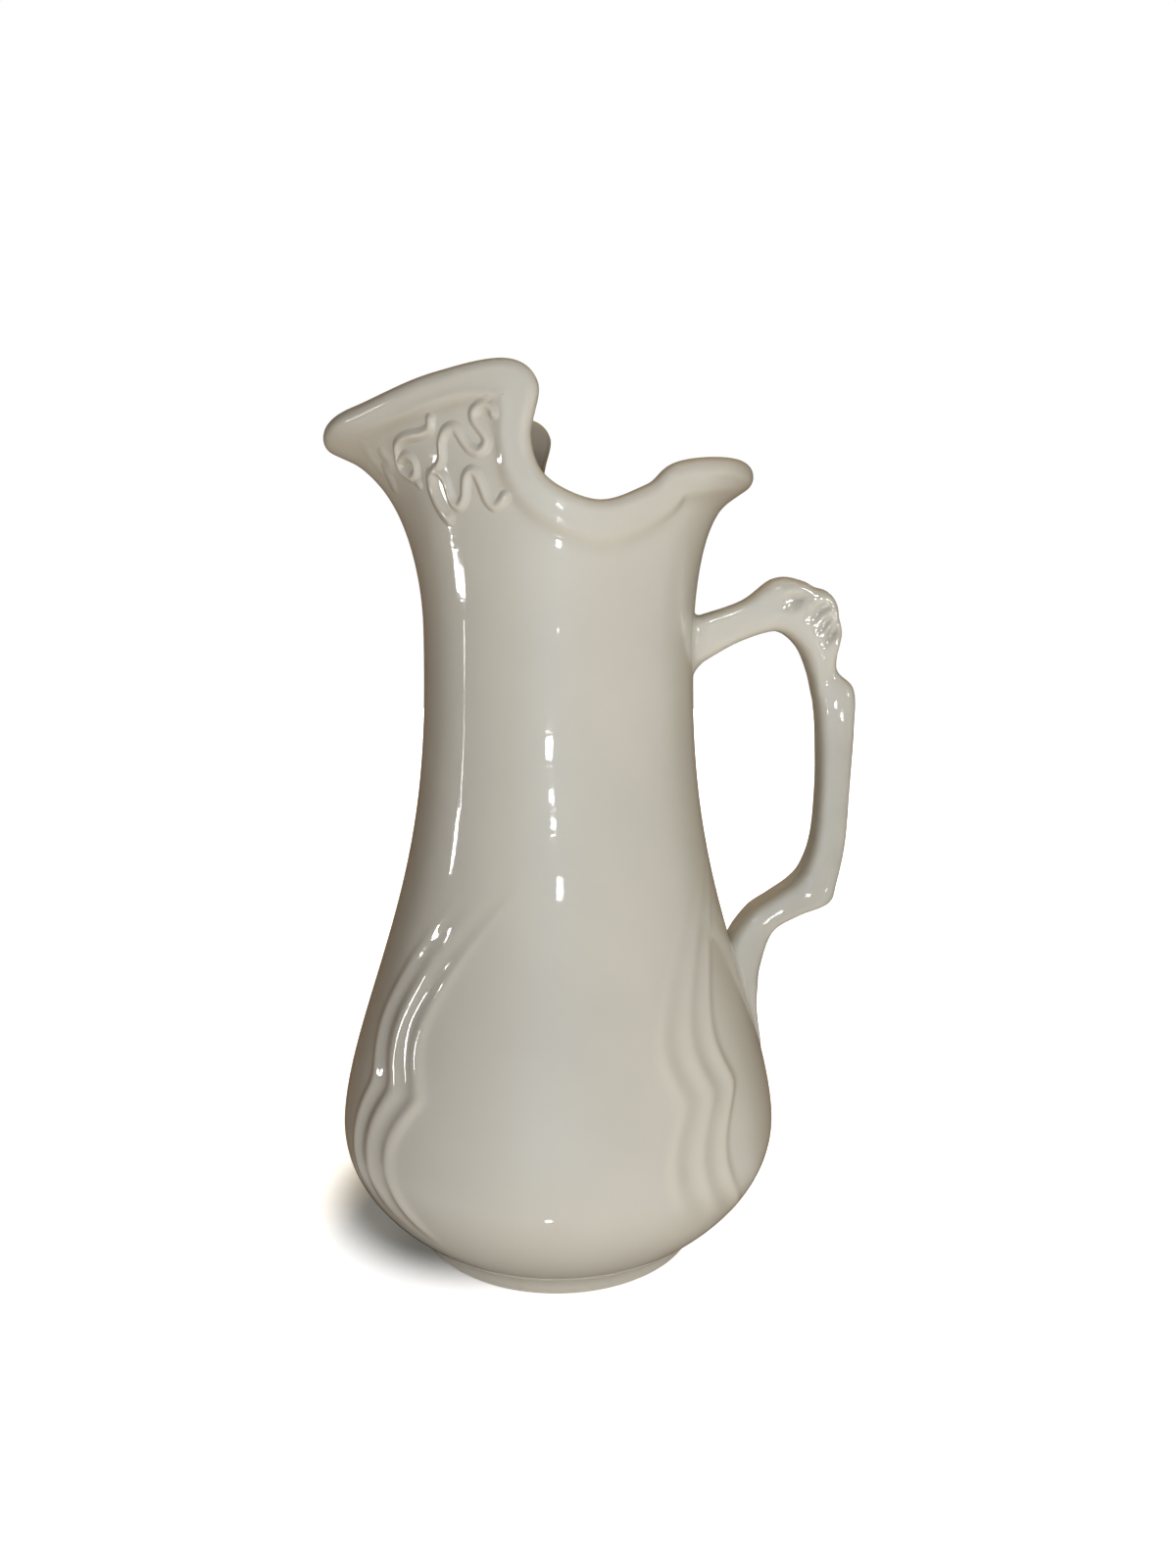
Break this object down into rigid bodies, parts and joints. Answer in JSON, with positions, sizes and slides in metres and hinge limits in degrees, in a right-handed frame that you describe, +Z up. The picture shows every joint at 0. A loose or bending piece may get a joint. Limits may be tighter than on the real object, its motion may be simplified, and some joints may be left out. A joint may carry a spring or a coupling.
{
  "type": "cream jug",
  "caption": "Tall glazed cream jug with a round swirl-fluted belly, a slim neck, an eared pouring spout with scroll relief and a knuckled loop handle.",
  "frame": {"origin": "on the surface it stands on, under the middle of the whole jug's bounding box; the axis of the body and foot ring is 6.75 mm towards the spout from it", "axes": "+Z up, +X towards the handle, -X towards the spout, -Y towards the flank seen in the picture; the jug's middle plane is y = 0"},
  "size_m": [0.0996, 0.0848, 0.1628],
  "materials": {
    "glaze": "warm white gloss glaze",
    "foot": "gloss glaze, wiped bare and worn on the standing edge",
    "lute": "gloss glaze, pooled in the fillet",
    "relief": "gloss glaze, thin over the raised scroll"
  },
  "bodies": {
    "root": {"body": "glaze", "foot_ring": "foot", "handle": "glaze", "upper_handle_lute": "lute", "lower_handle_lute": "lute", "spout_scroll_near": "relief", "spout_scroll_far": "relief"}
  },
  "joints": []
}
